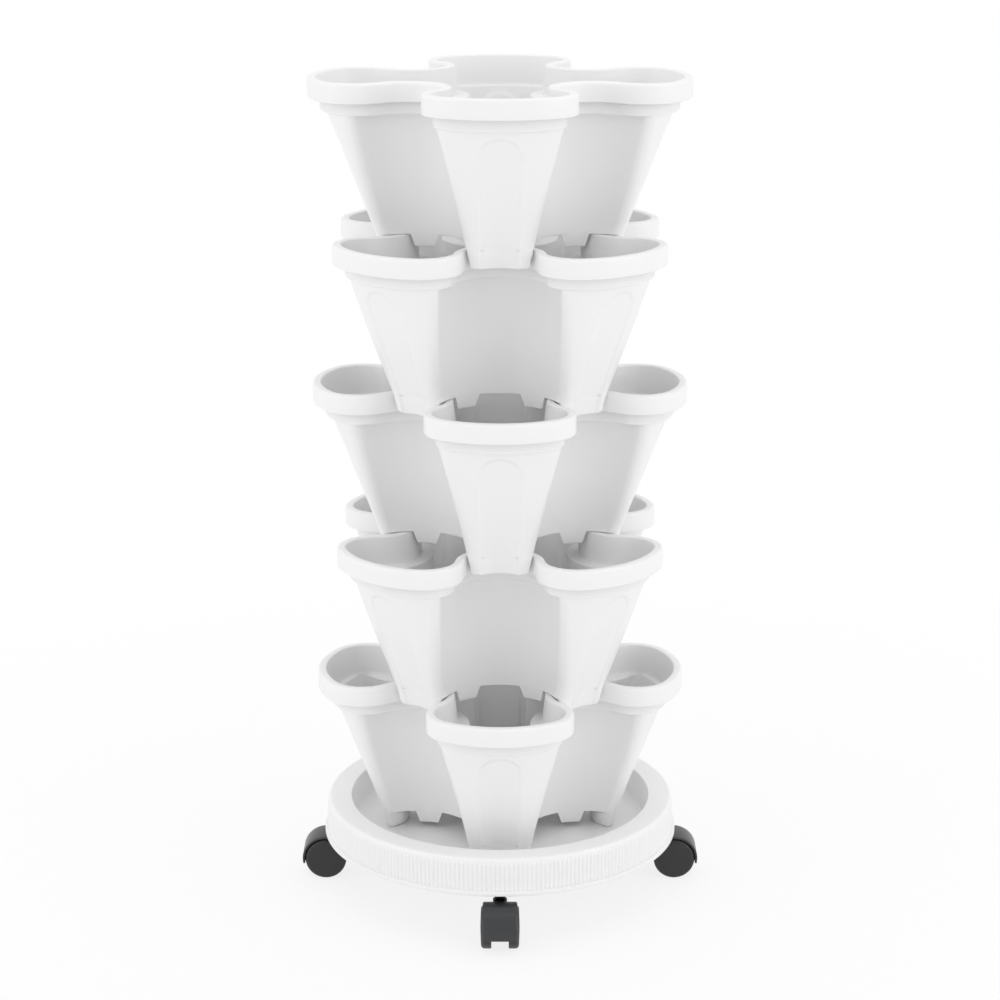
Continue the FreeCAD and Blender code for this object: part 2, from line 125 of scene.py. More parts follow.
def linear(code):
    """Linear RGBA of an sRGB hex colour."""
    values = []
    for start in (0, 2, 4):
        value = int(code[start:start + 2], 16) / 255
        values.append(value / 12.92 if value <= 0.04045 else ((value + 0.055) / 1.055) ** 2.4)
    return (*values, 1.0)


def mix(pair, share):
    """Value at a share of the way from the first of a pair to the second."""
    return pair[0] + (pair[1] - pair[0]) * share


def smoothstep(value):
    """Rise from 0 to 1 that starts and ends level: 3 v squared less 2 v cubed."""
    value = np.clip(value, 0.0, 1.0)
    return value * value * (3 - 2 * value)


class PlanterSizes(bpy.types.PropertyGroup):
    """Roundings and flutes that a user would change"""
    lip_round: bpy.props.FloatProperty(
        name="Lip rounding", description="Radius of the rim's outer upper edge",
        default=2.6 * MM, min=0.5 * MM, max=4 * MM, unit="LENGTH")
    throat_round: bpy.props.FloatProperty(
        name="Throat rounding", description="Radius of the rim's inner upper edge",
        default=1.8 * MM, min=0.5 * MM, max=3 * MM, unit="LENGTH")
    flute_depth: bpy.props.FloatProperty(
        name="Flute depth", description="How far the tray's flutes stand out",
        default=1.15 * MM, min=0.2 * MM, max=1.2 * MM, unit="LENGTH")
    flutes: bpy.props.IntProperty(
        name="Flutes", description="Flutes around the tray's skirt", default=252, min=60, max=400)
    hood_round: bpy.props.FloatProperty(
        name="Hood rounding", description="Radius of the caster hood's long edges",
        default=2.2 * MM, min=0.5 * MM, max=2.4 * MM, unit="LENGTH")


class PlanterColours(bpy.types.PropertyGroup):
    """Colours of the plastics, the steel and the floor"""
    plastic: bpy.props.FloatVectorProperty(
        name="Pot plastic", description="White polypropylene of the pots and the tray",
        default=linear("F3F3F3"), size=4, min=0, max=1, subtype="COLOR")
    hood: bpy.props.FloatVectorProperty(
        name="Hood plastic", description="Charcoal nylon of the caster hoods",
        default=linear("2E2F31"), size=4, min=0, max=1, subtype="COLOR")
    wheel: bpy.props.FloatVectorProperty(
        name="Wheel plastic", description="Near-black nylon of the wheels",
        default=linear("202021"), size=4, min=0, max=1, subtype="COLOR")
    # The stems' near-black colour is painted shade: the short neck between tray and hood is dark from the
    # shadow there
    stem: bpy.props.FloatVectorProperty(
        name="Stem steel", description="Blackened steel of the caster stems",
        default=linear("1C1C1E"), size=4, min=0, max=1, subtype="COLOR")
    steel: bpy.props.FloatVectorProperty(
        name="Zinc", description="Bright zinc on the rings and axles",
        default=linear("C6C8CA"), size=4, min=0, max=1, subtype="COLOR")
    floor: bpy.props.FloatVectorProperty(
        name="Studio floor", description="Pale floor around the planter",
        default=linear("F2F2F2"), size=4, min=0, max=1, subtype="COLOR")


def sizes():
    """The scene's planter sizes."""
    return bpy.context.scene.planter_sizes


def colours():
    """The scene's planter colours."""
    return bpy.context.scene.planter_colours


# Meshes from arrays

def strips(rows, columns, closed=True):
    """Quads between neighbouring rows of a grid, and across its seam when the rows are rings."""
    last = columns if closed else columns - 1
    row, column = np.meshgrid(np.arange(rows - 1), np.arange(last), indexing="ij")
    nearby = (column + 1) % columns
    quads = np.stack([row * columns + column, row * columns + nearby,
                      (row + 1) * columns + nearby, (row + 1) * columns + column], axis=-1)
    return quads.reshape(-1, 4)


def shell(rings, close_start=True, close_end=True):
    """Vertices, quads and triangles of stacked rings; each closed end is a fan to its middle."""
    rows, columns, _ = rings.shape
    vertices = [rings.reshape(-1, 3)]
    quads = strips(rows, columns)
    fans = []
    index = np.arange(columns)
    count = rows * columns
    if close_start:
        vertices.append(rings[0].mean(axis=0)[None])
        fans.append(np.stack([np.full(columns, count), (index + 1) % columns, index], axis=-1))
        count += 1
    if close_end:
        end = index + (rows - 1) * columns
        vertices.append(rings[-1].mean(axis=0)[None])
        fans.append(np.stack([np.full(columns, count), end, np.roll(end, -1)], axis=-1))
    triangles = np.concatenate(fans) if fans else np.zeros((0, 3), int)
    return np.concatenate(vertices), quads, triangles


def outward(part):
    """The same part with its faces turned outward, from the sign of its enclosed volume."""
    vertices, quads, triangles = part
    corners = np.concatenate([triangles, quads[:, [0, 1, 2]], quads[:, [0, 2, 3]]])
    a, b, c = (vertices[corners[:, side]] for side in range(3))
    if np.einsum("ij,ij->i", a, np.cross(b, c)).sum() < 0:
        return vertices, quads[:, ::-1], triangles[:, ::-1]
    return part


def turned(vertices, degrees, shift=(0.0, 0.0, 0.0)):
    """Points turned about the vertical axis and then moved."""
    angle = math.radians(degrees)
    turn = np.array([[math.cos(angle), -math.sin(angle), 0],
                     [math.sin(angle), math.cos(angle), 0], [0, 0, 1]])
    return vertices @ turn.T + np.array(shift)


def piece(name, parts, body, node, material, sharp=40.0):
    """One object from closed parts in millimetres, riding on a body in place of a CAD node."""
    vertices, faces, offset = [], [], 0
    for part_vertices, quads, triangles in parts:
        vertices.append(part_vertices * MM)
        faces += (quads + offset).tolist()
        faces += (triangles + offset).tolist()
        offset += len(part_vertices)
    mesh = bpy.data.meshes.new(name)
    mesh.from_pydata(np.concatenate(vertices), [], faces)
    mesh.validate()
    mesh.polygons.foreach_set("use_smooth", np.ones(len(mesh.polygons), bool))
    mesh.set_sharp_from_angle(angle=math.radians(sharp))
    mesh.materials.append(material)
    made = bpy.data.objects.new(name, mesh)
    bpy.context.scene.collection.objects.link(made)
    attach(made, body)
    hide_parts(node)
    return made


# Four-lobed outlines

def outline_shares():
    """Shares along half a lobe's four stretches: panel, flank to the shoulder, corner and valley."""
    panel = np.linspace(0, 1, 34)
    flank = np.linspace(0, 1, 7)[1:]
    corner = np.linspace(0, 1, 11)[1:]
    valley = np.linspace(0, 1, 13)[1:]
    return panel, flank, corner, valley


def half_lobe(end_x, end_radius, corner_radius, valley_distance, valley_radius, panel_half):
    """Half of one lobe's outline for each row, from the tip on +X to the valley's bottom.

    The corner circle touches the end circle from inside and the valley circle from outside: its
    centre is where circles of radius end - corner and valley + corner cross. Points inside the
    panel are spaced by their distance from the lobe's middle, the others by angle on their circle.
    """
    middle = valley_distance / math.sqrt(2)
    reach_x = middle - end_x
    span = np.hypot(reach_x, middle)
    inner = end_radius - corner_radius
    outer = valley_radius + corner_radius
    along = (span ** 2 + inner ** 2 - outer ** 2) / (2 * span)
    aside = np.sqrt(inner ** 2 - along ** 2)
    corner_x = end_x + (along * reach_x + aside * middle) / span
    corner_y = (along * middle - aside * reach_x) / span
    shoulder = np.arctan2(corner_y, corner_x - end_x)
    flank = np.arctan2(middle - corner_y, middle - corner_x)

    panel_share, flank_share, corner_share, valley_share = outline_shares()
    panel_angle = np.arcsin(panel_half / end_radius)
    sine = panel_share * (panel_half / end_radius)[:, None]
    end_angle = np.concatenate([np.arcsin(sine), panel_angle[:, None]
                                + flank_share * (shoulder - panel_angle)[:, None]], axis=1)
    corner_angle = shoulder[:, None] + corner_share * (flank - shoulder)[:, None]
    valley_angle = flank[:, None] + valley_share * (math.pi / 4 - flank)[:, None]
    x = np.concatenate([end_x[:, None] + end_radius[:, None] * np.cos(end_angle),
                        corner_x[:, None] + corner_radius[:, None] * np.cos(corner_angle),
                        middle[:, None] - valley_radius[:, None] * np.cos(valley_angle)], axis=1)
    y = np.concatenate([end_radius[:, None] * np.sin(end_angle),
                        corner_y[:, None] + corner_radius[:, None] * np.sin(corner_angle),
                        middle[:, None] - valley_radius[:, None] * np.sin(valley_angle)], axis=1)
    return x, y


def lobe_reach(z):
    """How far the wall's lobe ends lie from the middle; the cups below the wall's edge lean less."""
    wall = mix(WALL_REACH, (z - WALL_EDGE) / (COLLAR_BOTTOM - WALL_EDGE))
    cup = WALL_REACH[0] + CUP_LEAN * (z - WALL_EDGE)
    return np.maximum(wall, cup)


def panel_half_width(z):
    """The arched panel's half width at a height, where its sides run straight."""
    return mix(PANEL_HALF, np.clip(z / PANEL_TOP, 0, 1))


def panel_depth(z, y, surface, sunk=0.0):
    """How deep the panel lies under the lobe's end surface at a height and distance from its middle.

    Inside the arch the panel's section is a circle through its two edges and its middle; both
    change evenly from the arch's top to the pot's foot. A short ramp makes the arch's edge.
    """
    share = z / PANEL_TOP
    reach = lobe_reach(z) - sunk
    half = panel_half_width(z) + sunk
    middle = reach - mix(PANEL_MIDDLE, share)
    edge = reach - mix(PANEL_EDGE, share)
    panel = middle + (edge - middle) * (y / half) ** 2
    spring = PANEL_TOP - PANEL_HALF[1]
    above = np.maximum(z - spring, 0.0)
    inside = half - np.hypot(y, above)
    return smoothstep(inside / PANEL_RAMP) * np.maximum(surface - panel, 0.0)


def rim_rows(inset, tip_inset):
    """Rim circles for rows with their insets, and with what the lobes' tips are inset beyond that."""
    flat = np.zeros_like(inset)
    return (RIM_END_CENTRE + flat, RIM_END_RADIUS - inset - tip_inset, RIM_CORNER - inset,
            RIM_VALLEY_DISTANCE + flat, RIM_VALLEY_RADIUS + inset, PANEL_HALF[1] + flat)


def wall_rows(z, inset):
    """Wall circles for rows with their heights and insets."""
    share = (z - WALL_EDGE) / (COLLAR_BOTTOM - WALL_EDGE)
    flat = np.zeros_like(z)
    return (lobe_reach(z) - WALL_END_RADIUS, WALL_END_RADIUS - inset, WALL_CORNER - inset,
            mix(WALL_VALLEY, share) + WALL_VALLEY_RADIUS, WALL_VALLEY_RADIUS + inset + flat,
            panel_half_width(z) + np.minimum(inset, PLASTIC))


def whole_outline(x, y):
    """All four lobes from half of one: mirrored, then turned about the vertical axis."""
    x_lobe = np.concatenate([x[:, :0:-1], x[:, :-1]], axis=1)
    y_lobe = np.concatenate([-y[:, :0:-1], y[:, :-1]], axis=1)
    xs, ys = [], []
    for lobe in range(LOBES):
        angle = 2 * math.pi * lobe / LOBES
        xs.append(x_lobe * math.cos(angle) - y_lobe * math.sin(angle))
        ys.append(x_lobe * math.sin(angle) + y_lobe * math.cos(angle))
    return np.concatenate(xs, axis=1), np.concatenate(ys, axis=1)


def rings_from(x, y, z):
    """Rings of points from half a lobe's outline for each height."""
    x, y = whole_outline(x, y)
    z = np.broadcast_to(z[:, None], x.shape)
    return np.stack([x, y, z], axis=-1)


def quarter(radius, steps, start, end):
    """Cosine and sine of a rounding's angles, scaled by its radius."""
    angle = np.linspace(math.radians(start), math.radians(end), steps)
    return radius * np.cos(angle), radius * np.sin(angle)


def pot_shell(lip_round, throat_round):
    """The pot's closed wall: underside, tapered wall with panels, collar, folded rim, inside and floor.

    Each ring is the four-lobed outline at a height and an inset; the rings run up the outside, over
    the lip and down the inside to the middle of the floor.
    """
    wall_z = np.concatenate([np.linspace(WALL_EDGE, 97, 12), np.arange(98.5, 124.5, 0.6),
                             np.array([126.0, 129.0, COLLAR_BOTTOM])])
    rings = []

    # Underside and reveal
    low_z = np.array([SEAT, WALL_EDGE])
    x, y = half_lobe(*wall_rows(low_z, np.array([REVEAL, REVEAL])))
    x = x - panel_depth(low_z[:, None], y, x, REVEAL)
    rings.append(rings_from(x, y, low_z))

    # Tapered wall with the arched panels sunk into it
    x, y = half_lobe(*wall_rows(wall_z, np.zeros_like(wall_z)))
    x = x - panel_depth(wall_z[:, None], y, x)
    rings.append(rings_from(x, y, wall_z))

    # Collar, channel inside the folded band, band and rounded lip, throat and its ledge
    flare = (COLLAR_INSET + PLASTIC - LIP_WIDTH) / (POT_TOP - BAND_BOTTOM)
    throat_foot = COLLAR_INSET + PLASTIC
    cos_c, sin_c = quarter(COLLAR_ROUND, 6, -90, 0)
    insets = list(COLLAR_INSET + COLLAR_ROUND - cos_c)
    heights = list(COLLAR_BOTTOM + COLLAR_ROUND + sin_c)
    insets += [COLLAR_INSET, COLLAR_INSET - flare * (CHANNEL_TOP - BAND_BOTTOM)]
    heights += [BAND_BOTTOM, CHANNEL_TOP]
    collar_rows = len(insets) - 1
    insets += [PLASTIC, PLASTIC]
    heights += [CHANNEL_TOP, BAND_BOTTOM + 0.6]
    hem = PLASTIC / 2
    cos_h, sin_h = quarter(hem, 7, -180, 0)
    insets += list(hem - cos_h)
    heights += list(BAND_BOTTOM + hem + sin_h)
    cos_l, sin_l = quarter(lip_round, 7, 0, 90)
    insets += [0.0] + list(lip_round - cos_l)
    heights += [POT_TOP - lip_round - 1.0] + list(POT_TOP - lip_round + sin_l)
    cos_t, sin_t = quarter(throat_round, 6, 90, 0)
    insets += list(LIP_WIDTH - throat_round + cos_t)
    heights += list(POT_TOP - throat_round + sin_t)
    insets += [throat_foot, throat_foot, throat_foot + 0.4, throat_foot + 1.4]
    heights += [BAND_BOTTOM, LEDGE + 2.6, LEDGE + 0.9, LEDGE + 0.1]
    insets, heights = np.array(insets), np.array(heights)
    past_collar = np.arange(len(insets)) > collar_rows
    in_band = past_collar & (insets < LIP_WIDTH - throat_round) & (heights > BAND_BOTTOM - 1)
    tips = COLLAR_TIP_INSET * np.clip((CHANNEL_TOP - heights) / (CHANNEL_TOP - BAND_BOTTOM), 0, 1)
    x, y = half_lobe(*rim_rows(insets, np.where(in_band, 0.0, tips)))
    rings.append(rings_from(x, y, heights))

    # Inside wall, with the panels standing proud, down to the floor's rounded edge
    inner_z = np.concatenate([LEDGE - np.array([0.0, 0.3, 1.0]), wall_z[::-1][1:][::2],
                              [FLOOR_TOP + FLOOR_CURL_HEIGHT, FLOOR_TOP + 1.2, FLOOR_TOP + 0.3]])
    inner_z = np.sort(inner_z)[::-1]
    inner_z = inner_z[inner_z > FLOOR_TOP]
    above_floor = (FLOOR_TOP + FLOOR_CURL_HEIGHT - inner_z) / FLOOR_CURL_HEIGHT
    curl = np.clip(above_floor, 0, 1) ** 2 * FLOOR_CURL
    curl = curl - np.clip(inner_z - LEDGE + 1.0, 0, 1) ** 2
    x, y = half_lobe(*wall_rows(inner_z, PLASTIC + curl))
    x = x - panel_depth(inner_z[:, None], y, x, PLASTIC)
    rings.append(rings_from(x, y, inner_z))

    # Floor
    floor_inset = np.array(FLOOR_INSETS)
    floor_z = np.full(len(floor_inset), FLOOR_TOP)
    x, y = half_lobe(*wall_rows(floor_z, floor_inset))
    x = x - panel_depth(floor_z[:, None], y, x, floor_inset[:, None])
    rings.append(rings_from(x, y, floor_z))
    rings = np.concatenate(rings)
    centre = rings[-1] * np.array([FLOOR_MIDDLE_SHARE, FLOOR_MIDDLE_SHARE, 1.0])
    return shell(np.concatenate([rings, centre[None]]))


def cup_outline(z, inset):
    """Closed outlines of a hanging cup at heights: the lobe's end, cut off behind by a circle.

    Every point of the wall's outline is drawn in along its ray from the cup's middle, as far as the
    circle about the valley centre of the rim beneath; rays of the circle alone close the back.
    """
    x, y = half_lobe(*wall_rows(z, inset))
    x = x - panel_depth(z[:, None], y, x, 0.0)
    span = np.hypot(x - CUP_MIDDLE, y)
    angle = np.arctan2(y, x - CUP_MIDDLE)
    back = angle[:, -1:] + (math.pi - angle[:, -1:]) * np.linspace(0, 1, 9)[1:]
    angle = np.concatenate([angle, back], axis=1)
    span = np.concatenate([span, np.full_like(back, RIM_VALLEY_DISTANCE)], axis=1)
    radius = (RIM_VALLEY_RADIUS - mix(CUP_CLEARANCE, z / SEAT) - inset)[:, None]
    behind = RIM_VALLEY_DISTANCE - CUP_MIDDLE
    to_circle = behind * np.cos(angle) + np.sqrt(radius ** 2 - (behind * np.sin(angle)) ** 2)
    span = np.minimum(span, to_circle)
    x = CUP_MIDDLE + span * np.cos(angle)
    y = span * np.sin(angle)
    x = np.concatenate([x, x[:, -2:0:-1]], axis=1)
    y = np.concatenate([y, -y[:, -2:0:-1]], axis=1)
    return np.stack([x, y, np.broadcast_to(z[:, None], x.shape)], axis=-1)


def cup():
    """A closed cup: sides from the wall's edge down, rounded foot edge, bottom and drain hole.

    The top closes on the cup's middle, from where every point of the outline is in plain view.
    """
    cos_f, sin_f = quarter(CUP_ROUND, 7, 0, 90)
    sides = np.linspace(WALL_EDGE, CUP_ROUND, 9)
    rings = np.concatenate([cup_outline(sides, np.zeros_like(sides)),
                            cup_outline(CUP_ROUND - sin_f[1:], CUP_ROUND - cos_f[1:])])
    middle = np.array([CUP_MIDDLE, 0, WALL_EDGE])
    cap = middle + (rings[0] - middle) * CUP_CAP_SHARE
    drain = np.array([CUP_DRAIN_REACH, 0, 0])
    hole = (rings[-1] - drain) * np.array([1, 1, 0])
    hole = drain + hole / np.linalg.norm(hole, axis=1)[:, None] * CUP_DRAIN_RADIUS
    return shell(np.concatenate([[cap], rings, [hole, hole + np.array([0, 0, CUP_DRAIN_DEPTH])]]))


def tabs():
    """The two tabs of the lobe on +X: pieces of the neck's wall carried down, with slanted ends."""
    made = []
    steps = 14
    rows = np.array([WALL_EDGE, TAB_FOOT + 1.2, TAB_FOOT + 0.4, TAB_FOOT])
    slant = TAB_SLANT * np.clip((WALL_EDGE - rows) / (WALL_EDGE - TAB_FOOT), 0, 1)
    trim = np.array([0.0, 0.0, 0.25, 0.8])
    share = (rows - WALL_EDGE) / (COLLAR_BOTTOM - WALL_EDGE)
    centre = (mix(WALL_VALLEY, share) + WALL_VALLEY_RADIUS) / math.sqrt(2)
    across = np.linspace(0, 1, steps)
    outer_u = TAB_OUTER - slant - trim
    inner_u = TAB_OUTER - TAB_WIDTH + slant + trim
    u = inner_u[:, None] + (outer_u - inner_u)[:, None] * across
    for side in (1, -1):
        faces = []
        for inset in (0.0, PLASTIC):
            radius = (WALL_VALLEY_RADIUS + inset + trim * (1 - inset))[:, None]
            v = centre[:, None] - np.sqrt(radius ** 2 - (u - centre[:, None]) ** 2)
            faces.append(np.stack([u, side * v, np.broadcast_to(rows[:, None], u.shape)], axis=-1))
        rings = np.concatenate([faces[0], faces[1][:, ::-1]], axis=1)
        made.append(shell(rings))
    return made


class PLANTER_OT_pots(bpy.types.Operator):
    """Makes the five pots, each turned against the next"""
    bl_idname = "planter.pots"
    bl_label = "Pots"

    def execute(self, context):
        made = sizes()
        plastic = white_polypropylene()
        one_pot = [outward(pot_shell(made.lip_round / MM, made.throat_round / MM))]
        for lobe in range(LOBES):
            for part in [cup()] + tabs():
                vertices, quads, triangles = outward(part)
                one_pot.append((turned(vertices, 360 / LOBES * lobe), quads, triangles))
        for tier in range(1, TIERS + 1):
            node = f"pot_{tier}"
            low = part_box(node)[0]
            turn = 45.0 if tier % 2 == 0 else 0.0
            shift = (0.0, 0.0, low.z / MM)
            placed = [(turned(v, turn, shift), q, t) for v, q, t in one_pot]
            piece(f"{node}_shell", placed, node, node, plastic)
        return {"FINISHED"}


# Materials

def add_node(owner, kind, links=(), **settings):
    """Adds a node to a material or world with its settings, and links other nodes' outputs to it."""
    tree = owner.node_tree
    node = tree.nodes.new(kind)
    for name, value in settings.items():
        if name.startswith("in_"):
            node.inputs[name[3:].replace("_", " ")].default_value = value
        else:
            setattr(node, name, value)
    for source, output, target in links:
        tree.links.new(source.outputs[output], node.inputs[target])
    return node


def plain_material(name, colour, roughness, **inputs):
    """A new material with only its surface shader; patterns are linked to it afterwards."""
    material = bpy.data.materials.new(name)
    material.use_nodes = True
    shader = material.node_tree.nodes["Principled BSDF"]
    shader.inputs["Base Color"].default_value = colour
    shader.inputs["Roughness"].default_value = roughness
    for title, value in inputs.items():
        shader.inputs[title.replace("_", " ")].default_value = value
    return material, shader


def white_polypropylene():
    """Injection-moulded polypropylene: satin, slightly waxy, with faint flow waves from the mould."""
    material, shader = plain_material("white_polypropylene", tuple(colours().plastic), 0.36, IOR=1.49)
    tree = material.node_tree
    place = add_node(material, "ShaderNodeTexCoord")
    # Mould surface: 1.5 mm grain, far finer in life, drawn as coarse as it can show
    grain = add_node(material, "ShaderNodeTexNoise", [(place, "Object", "Vector")],
                     in_Scale=1 / (1.5 * MM), in_Detail=2.0)
    # Shrink waves: 60 mm across, a few hundredths deep
    waves = add_node(material, "ShaderNodeTexNoise", [(place, "Object", "Vector")],
                     in_Scale=1 / (60 * MM), in_Detail=1.0)
    fine = add_node(material, "ShaderNodeBump", [(grain, "Fac", "Height")],
                    in_Strength=0.05, in_Distance=0.02 * MM)
    broad = add_node(material, "ShaderNodeBump", [(waves, "Fac", "Height"), (fine, "Normal", "Normal")],
                     in_Strength=0.15, in_Distance=0.25 * MM)
    tree.links.new(broad.outputs["Normal"], shader.inputs["Normal"])
    gloss = add_node(material, "ShaderNodeMapRange", [(waves, "Fac", "Value")],
                     in_To_Min=0.33, in_To_Max=0.40)
    tree.links.new(gloss.outputs["Result"], shader.inputs["Roughness"])
    return material


def charcoal_nylon():
    """Glass-filled nylon of the hoods: charcoal and half glossy, so its crown catches the light."""
    material, shader = plain_material("charcoal_nylon", tuple(colours().hood), 0.32, IOR=1.53)
    return add_grain(material, shader, 0.8 * MM, 0.04)


def black_nylon():
    """Nylon of the wheels: near black, with a dull moulded grain."""
    material, shader = plain_material("black_nylon", tuple(colours().wheel), 0.45, IOR=1.53)
    return add_grain(material, shader, 0.8 * MM, 0.08)


def zinc_steel():
    """Zinc-plated steel of the grip rings and axles: bright, with fine turning marks."""
    material, shader = plain_material("zinc_steel", tuple(colours().steel), 0.28, Metallic=1.0)
    return add_grain(material, shader, 0.5 * MM, 0.05)


def shade_painted_steel():
    """Steel of the stems, almost black: painted shade, so the short neck under the tray reads as dark as
    the shadow between tray and hood.
    """
    material, shader = plain_material("shade_painted_steel", tuple(colours().stem), 0.5, Metallic=1.0)
    return add_grain(material, shader, 0.5 * MM, 0.05)


def add_grain(material, shader, size, strength):
    """A moulded or turned surface: fine noise of a real size under the highlights."""
    place = add_node(material, "ShaderNodeTexCoord")
    grain = add_node(material, "ShaderNodeTexNoise", [(place, "Object", "Vector")],
                     in_Scale=1 / size, in_Detail=2.0)
    bump = add_node(material, "ShaderNodeBump", [(grain, "Fac", "Height")],
                    in_Strength=strength, in_Distance=0.05 * MM)
    material.node_tree.links.new(bump.outputs["Normal"], shader.inputs["Normal"])
    return material


# Tray

TRAY_BOTTOM = 50.0
TRAY_TOP = 85.5
TRAY_WALL = 2.4
TRAY_FLOOR = 57.4
TRAY_RADIUS = 166.9
TRAY_FLANGE_RADIUS = 170.9
TRAY_FLANGE_TOP = 53.5
TRAY_LIP_INNER = 144.5
TRAY_LIP_ROUND = 3.4
DISH_FOOT = 141.0
DISH_FOOT_ROUND = 5.0
FLUTE_ROOT = 166.6
FLUTE_TOP = 81.3
CASTER_REACH = 154.5
SOCKET_RADIUS = 8.5
SOCKET_BORE = 4.6
SOCKET_TOP = 76.0
UNDER_RIBS = 8
UNDER_RIB_HALF = 1.0
UNDER_RIB_INNER = 20.0
UNDER_RIB_RECESS = 0.5


def loop_shell(rings):
    """Vertices and quads of a ring of rings, closed both ways round."""
    rows, columns, _ = rings.shape
    row, column = np.meshgrid(np.arange(rows), np.arange(columns), indexing="ij")
    after, nearby = (row + 1) % rows, (column + 1) % columns
    quads = np.stack([row * columns + column, row * columns + nearby,
                      after * columns + nearby, after * columns + column], axis=-1)
    return rings.reshape(-1, 3), quads.reshape(-1, 4), np.zeros((0, 3), int)


def turned_rings(profile, columns, radial=None):
    """Rings of a profile of (radius, height) points turned about the vertical axis."""
    angle = np.linspace(0, 2 * math.pi, columns, endpoint=False)
    radius = profile[:, :1] + (0 if radial is None else radial)
    x = radius * np.cos(angle)
    y = radius * np.sin(angle)
    z = np.broadcast_to(profile[:, 1:], x.shape)
    return np.stack([x, y, z], axis=-1)


def bend(centre_r, centre_z, radius, start, end, steps=6):
    """Points of a rounded edge in a turned profile."""
    angle = np.radians(np.linspace(start, end, steps))
    return np.stack([centre_r + radius * np.cos(angle), centre_z + radius * np.sin(angle)], axis=-1)


def tray_profile():
    """The tray's closed profile, from the dish over the lip and the skirt to its underside."""
    slope = math.atan2(TRAY_TOP - TRAY_FLOOR, TRAY_LIP_INNER - DISH_FOOT)
    foot_back = DISH_FOOT_ROUND * math.tan(slope / 2)
    points = [np.array([[30.0, TRAY_FLOOR], [100.0, TRAY_FLOOR]])]
    points.append(bend(DISH_FOOT - foot_back, TRAY_FLOOR + DISH_FOOT_ROUND, DISH_FOOT_ROUND, -90,
                       -90 + math.degrees(slope), 10))
    points.append(bend(TRAY_LIP_INNER + 1.0, TRAY_TOP - 1.0, 1.0, 180 - 5, 90, 7))
    points.append(np.array([[150.0, TRAY_TOP], [160.0, TRAY_TOP]]))
    points.append(bend(TRAY_RADIUS - TRAY_LIP_ROUND, TRAY_TOP - TRAY_LIP_ROUND, TRAY_LIP_ROUND,
                       90, 0, 14))
    points.append(np.array([[TRAY_RADIUS, FLUTE_TOP + 0.2], [FLUTE_ROOT, FLUTE_TOP - 1.0],
                            [FLUTE_ROOT, TRAY_FLANGE_TOP + 0.6]]))
    points.append(bend(FLUTE_ROOT + 0.5, TRAY_FLANGE_TOP + 0.5, 0.5, 180, 270, 3))
    points.append(bend(TRAY_FLANGE_RADIUS - 0.7, TRAY_FLANGE_TOP - 0.7, 0.7, 90, 0, 5))
    points.append(bend(TRAY_FLANGE_RADIUS - 0.5, TRAY_BOTTOM + 0.5, 0.5, 0, -90, 4))
    skirt_inner = TRAY_RADIUS - TRAY_WALL
    under = TRAY_TOP - TRAY_WALL
    points.append(np.array([[skirt_inner + 0.4, TRAY_BOTTOM], [skirt_inner, TRAY_BOTTOM + 0.4],
                            [skirt_inner, under - 0.6], [skirt_inner - 0.6, under],
                            [TRAY_LIP_INNER + TRAY_WALL + 0.6, under],
                            [TRAY_LIP_INNER + TRAY_WALL, under - 0.6],
                            [DISH_FOOT + TRAY_WALL, TRAY_FLOOR - TRAY_WALL + 0.8],
                            [DISH_FOOT + TRAY_WALL - 0.8, TRAY_FLOOR - TRAY_WALL],
                            [30.0, TRAY_FLOOR - TRAY_WALL]]))
    return np.concatenate(points)


def flute_ring(flutes, depth):
    """The fluted band of the skirt: round ribs whose ends run out at the flange and under the lip.

    The radius swings once per flute as the square root of a raised cosine, which gives broad round
    ribs and narrow grooves; towards both ends the ribs shrink on a quarter circle.
    """
    columns = flutes * 8
    angle = np.linspace(0, 2 * math.pi, columns, endpoint=False)
    swing = np.sqrt(0.5 - 0.5 * np.cos(flutes * angle))
    heights = np.concatenate([[TRAY_FLANGE_TOP - 0.4], np.linspace(TRAY_FLANGE_TOP, FLUTE_TOP - 3, 7),
                              FLUTE_TOP - 3 + 3 * np.sin(np.radians(np.linspace(15, 90, 6)))])
    end = np.sqrt(np.clip(1 - np.clip((heights - FLUTE_TOP + 3) / 3, 0, 1) ** 2, 0, 1))
    radial = depth * swing[None] * end[:, None]
    base = np.stack([np.full_like(heights, TRAY_RADIUS - 0.15), heights], axis=-1)
    outer = turned_rings(base, columns, radial)
    behind = TRAY_RADIUS - 1.6
    inner = turned_rings(np.array([[behind, heights[-1]], [behind, heights[0]]]), columns)
    return loop_shell(np.concatenate([outer, inner]))


def tube(outer, bore, bottom, top, x=0.0, columns=48):
    """Upright tube with slightly rounded edges."""
    edge = 0.4
    profile = np.array([[outer - edge, bottom], [outer, bottom + edge], [outer, top], [bore, top],
                        [bore, bottom + edge], [bore + edge, bottom]])
    vertices, quads, triangles = loop_shell(turned_rings(profile, columns))
    return vertices + np.array([x, 0, 0]), quads, triangles


def brick(low, high):
    """Closed box between two corners."""
    around = ((low[0], low[1]), (high[0], low[1]), (high[0], high[1]), (low[0], high[1]))
    corners = np.array([[x, y, z] for z in (low[2], high[2]) for x, y in around])
    quads = np.array([[0, 3, 2, 1], [4, 5, 6, 7], [0, 1, 5, 4],
                      [1, 2, 6, 5], [2, 3, 7, 6], [3, 0, 4, 7]])
    return corners, quads, np.zeros((0, 3), int)


